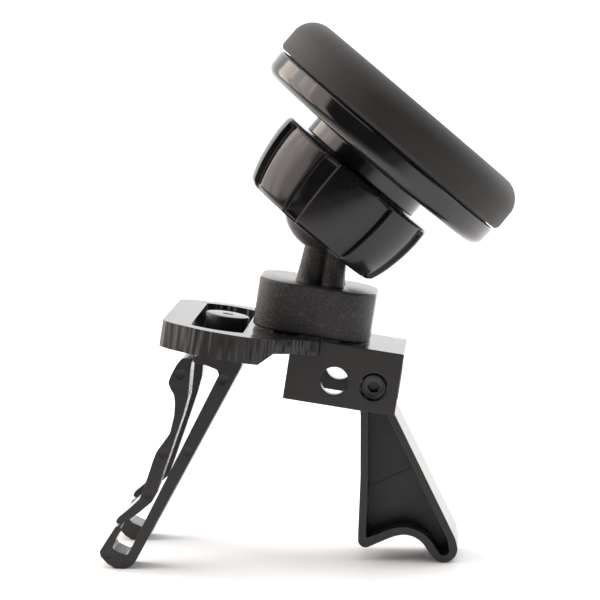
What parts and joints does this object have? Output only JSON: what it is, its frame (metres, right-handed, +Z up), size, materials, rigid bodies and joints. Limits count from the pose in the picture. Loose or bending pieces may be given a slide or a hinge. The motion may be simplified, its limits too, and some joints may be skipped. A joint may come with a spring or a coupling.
{
  "type": "car phone mount",
  "caption": "Magnetic phone mount for a car: a round rubber-faced head on a locking ball joint, on an arm with a two-pronged air vent clip and a folding support leg.",
  "frame": {"origin": "centre of the object's box on the surface it stands on", "axes": "+Z up, +X towards the support leg and the leaning face, +Y away from the viewer, across the arm"},
  "size_m": [0.078, 0.054, 0.1026],
  "materials": {
    "cap_rubber": "matte moulded rubber",
    "gloss_black": "high gloss moulded plastic",
    "spark_texture_black": "fine sparkly mould texture",
    "satin_black": "smooth satin",
    "moulded_black": "smooth satin, as moulded",
    "black_nylon": "fine grain, as moulded",
    "natural_acetal": "natural low-friction plastic",
    "tray_plastic": "plain moulded",
    "black_oxide_steel": "black oxide",
    "zinc_steel": "zinc plated",
    "nickel_magnet": "nickel plated"
  },
  "bodies": {
    "base": {"arm_plate": "satin_black", "clevis_block": "satin_black", "ball_stud": "spark_texture_black", "block_screw_1": "zinc_steel", "block_screw_2": "zinc_steel", "pivot_screw": "black_oxide_steel", "pivot_sleeve": "black_oxide_steel", "friction_washer_near": "natural_acetal", "friction_washer_far": "natural_acetal"},
    "leg": {"support_leg": "moulded_black"},
    "clip": {"clip_frame": "black_nylon", "clip_hub": "black_nylon", "hub_screw": "zinc_steel"},
    "near_lever": {"near_spring_lever": "black_nylon"},
    "far_lever": {"far_spring_lever": "black_nylon"},
    "ball_joint_pad": {"ball_pad": "natural_acetal"},
    "ball_joint_washer": {"preload_washer": "zinc_steel"},
    "head": {"puck_base": "gloss_black", "rubber_face_cap": "cap_rubber", "magnet_tray": "tray_plastic", "yoke_plate": "zinc_steel", "magnet_1": "nickel_magnet", "magnet_2": "nickel_magnet", "magnet_3": "nickel_magnet", "magnet_4": "nickel_magnet", "puck_screw_1": "zinc_steel", "puck_screw_2": "zinc_steel", "socket_collet": "black_nylon", "collet_screw": "zinc_steel"},
    "nut": {"locking_nut": "gloss_black"}
  },
  "joints": [
    {"name": "head_tilt", "type": "hinge", "parent": "base", "child": "ball_joint_pad", "pos_m": [0.00361, -0.0012, 0.06734], "axis": [0, 1, 0], "range_deg": [-62, 3]},
    {"name": "head_side_tilt", "type": "hinge", "parent": "ball_joint_pad", "child": "ball_joint_washer", "pos_m": [0.00361, -0.0012, 0.06734], "axis": [0.7651, -0.0382, -0.6427], "range_deg": [-9, 9]},
    {"name": "head_spin", "type": "hinge", "parent": "ball_joint_washer", "child": "head", "pos_m": [0.00361, -0.0012, 0.06734], "axis": [0.6438, 0.0625, 0.7627], "continuous": true},
    {"name": "lock_nut_turn", "type": "hinge", "parent": "head", "child": "nut", "pos_m": [0.00361, -0.0012, 0.06734], "axis": [0.6438, 0.0625, 0.7627], "range_deg": [0, 180]},
    {"name": "support_leg_pivot", "type": "hinge", "parent": "base", "child": "leg", "pos_m": [0.01264, -0.0012, 0.03443], "axis": [0, 1, 0], "range_deg": [-50, 60]},
    {"name": "clip_swivel", "type": "hinge", "parent": "base", "child": "clip", "pos_m": [-0.01605, -0.0012, 0.04592], "axis": [0.1513, 0, 0.9885], "range_deg": [-30, 30]},
    {"name": "near_lever_flex", "type": "hinge", "parent": "clip", "child": "near_lever", "pos_m": [-0.02156, -0.0012, 0.03968], "axis": [0, 1, 0], "range_deg": [0, 10], "stiffness_Nm_per_rad": 0.05},
    {"name": "far_lever_flex", "type": "hinge", "parent": "clip", "child": "far_lever", "pos_m": [-0.02156, -0.0012, 0.03968], "axis": [0, 1, 0], "range_deg": [0, 10], "stiffness_Nm_per_rad": 0.05}
  ]
}
